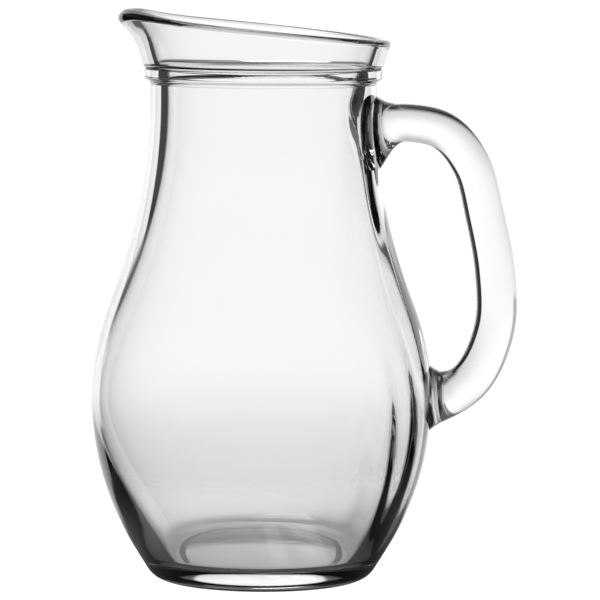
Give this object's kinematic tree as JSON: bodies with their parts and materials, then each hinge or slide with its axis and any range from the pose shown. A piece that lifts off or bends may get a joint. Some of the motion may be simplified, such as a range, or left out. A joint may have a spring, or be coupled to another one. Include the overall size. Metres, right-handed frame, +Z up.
{
  "type": "water jug",
  "caption": "Large clear glass water jug with a rounded belly, narrow neck, slanted flared rim, pouring spout and a solid glass handle.",
  "frame": {"origin": "bottom centre of the whole jug's box, on the surface it stands on; the vessel's axis is 17.75 mm to -X of it", "axes": "+Z up along the vessel's axis, +X from the vessel towards the handle, so the spout points to -X; XZ is the plane of symmetry"},
  "size_m": [0.1785, 0.143, 0.2397],
  "materials": {
    "vessel_glass": "clear soda-lime glass, fire-polished, faint cool grey tint that deepens where the glass is thick",
    "handle_glass": "solid clear soda-lime glass, fire-polished, the same melt as the vessel"
  },
  "bodies": {
    "root": {"vessel": "vessel_glass", "handle": "handle_glass"}
  },
  "joints": []
}
